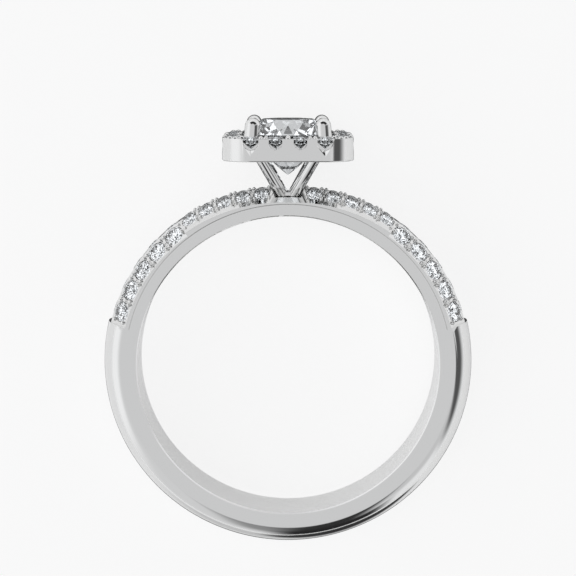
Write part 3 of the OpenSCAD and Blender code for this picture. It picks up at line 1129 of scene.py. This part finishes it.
def soft_step(value, low, high):
    """0 below low, 1 above high, with a soft change between them."""
    node = sky.new("ShaderNodeMapRange")
    node.interpolation_type = "SMOOTHSTEP"
    sky_link(value, node.inputs["Value"])
    node.inputs["From Min"].default_value = low
    node.inputs["From Max"].default_value = high
    return node.outputs["Result"]


direction = sky.new("ShaderNodeTexCoord").outputs["Generated"]
split = sky.new("ShaderNodeSeparateXYZ")
sky_link(direction, split.inputs["Vector"])
azimuth = sky_math("ARCTAN2", split.outputs["Y"], split.outputs["X"])
elevation = sky_math("ARCSINE", split.outputs["Z"])


def area(middle_deg, half_deg, side_soft, low_deg, low_soft, high_deg, high_soft):
    """A mask in the sky: around one direction along the horizon, between two heights.

    Each edge lies in the middle of a change that is twice as wide as its softness.
    """
    turned = sky_math("SUBTRACT", azimuth, math.radians(middle_deg))
    wrapped = sky_math("WRAP", turned, math.pi, -math.pi)
    aside = sky_math("ABSOLUTE", wrapped)
    half, soft = math.radians(half_deg), math.radians(side_soft)
    beside = sky_math("SUBTRACT", 1, soft_step(aside, half - soft, half + soft))
    above = soft_step(elevation, math.radians(low_deg - low_soft), math.radians(low_deg + low_soft))
    over = soft_step(elevation, math.radians(high_deg - high_soft), math.radians(high_deg + high_soft))
    return sky_math("MULTIPLY", sky_math("MULTIPLY", beside, above), sky_math("SUBTRACT", 1, over))


def blend_in(light, mask, brightness):
    """The light so far, with the brightness of one of the panels or cards laid over it."""
    node = sky.new("ShaderNodeMix")
    node.data_type = "FLOAT"
    sky_link(mask, node.inputs[0])
    sky_link(light, node.inputs[2])
    if isinstance(brightness, (int, float)):
        node.inputs[3].default_value = brightness
    else:
        sky_link(brightness, node.inputs[3])
    return node.outputs[0]


# %% The panels and cards, one over the other
light = sky_math("ADD", 0.85, 0)
zenith = soft_step(elevation, math.radians(36), math.radians(66))
left_panel = area(180, 80, 12, 5, 10, 50, 20)
light = blend_in(light, left_panel, 0.95)
light = blend_in(light, zenith, 0.66)
lower_right_grey = area(-50, 30, 14, 34, 12, 62, 3)
light = blend_in(light, lower_right_grey, 0.6)
lower_left_grey = area(-112, 26, 14, 2, 8, 62, 3)
light = blend_in(light, lower_left_grey, 0.68)
lower_dark_grey = area(-92, 12, 7, 20, 16, 62, 3)
light = blend_in(light, lower_dark_grey, 0.28)
high_black_card = area(-80.5, 10.5, 5, 22, 6, 62, 3)
light = blend_in(light, high_black_card, 0.03)
low_black_card = area(-78, 15, 5, 0, 3, 30, 7)
light = blend_in(light, low_black_card, 0.02)
right_black_card = area(-12, 27, 7, 16, 17, 62, 3)
light = blend_in(light, right_black_card, 0.09)
right_strip = area(-14, 9, 3, 53, 3, 66, 3)
light = blend_in(light, right_strip, 0.72)
upper_black_card = area(80, 56, 9, 24, 4, 61, 4)
light = blend_in(light, upper_black_card, 0.03)

# %% Sky as the stones show it
sparkle = sky.new("ShaderNodeTexVoronoi")
sparkle.inputs["Scale"].default_value = 7
sky_link(direction, sparkle.inputs["Vector"])
cell = sky.new("ShaderNodeSeparateColor")
sky_link(sparkle.outputs["Color"], cell.inputs["Color"])
facets = sky_math("MULTIPLY_ADD", soft_step(cell.outputs["Red"], 0.24, 0.5), 1.5, 0.05)
path = sky.new("ShaderNodeLightPath")
light = blend_in(light, path.outputs["Is Transmission Ray"], facets)
light = blend_in(light, path.outputs["Is Camera Ray"], 0.93)
background = sky.new("ShaderNodeBackground")
sky_link(light, background.inputs["Strength"])
background.inputs["Color"].default_value = (0.985, 0.99, 1.0, 1)
sky_out = sky.new("ShaderNodeOutputWorld")
sky_link(background.outputs["Background"], sky_out.inputs["Surface"])

# %% Camera
camera_away = 94.75
camera_up = 18.80
camera_down_deg = 8.69
upright = at_rest @ laid_over
camera_place = (upright @ Matrix.Translation((0, -camera_away, camera_up))
                @ Matrix.Rotation(math.radians(90 - camera_down_deg), 4, "X"))
location, turn, scale = camera_place.decompose()
camera_data = bpy.data.cameras.new("camera")
camera_data.lens = 103.69
camera_data.sensor_width = 36
camera_data.clip_start = 0.005
camera_data.clip_end = 100
camera = bpy.data.objects.new("camera", camera_data)
camera.location = location
camera.rotation_mode = "QUATERNION"
camera.rotation_quaternion = turn
bpy.context.scene.collection.objects.link(camera)
bpy.context.scene.camera = camera
bpy.context.scene.view_settings.view_transform = "Standard"
print("camera at", [round(1000 * c, 1) for c in location], "mm")
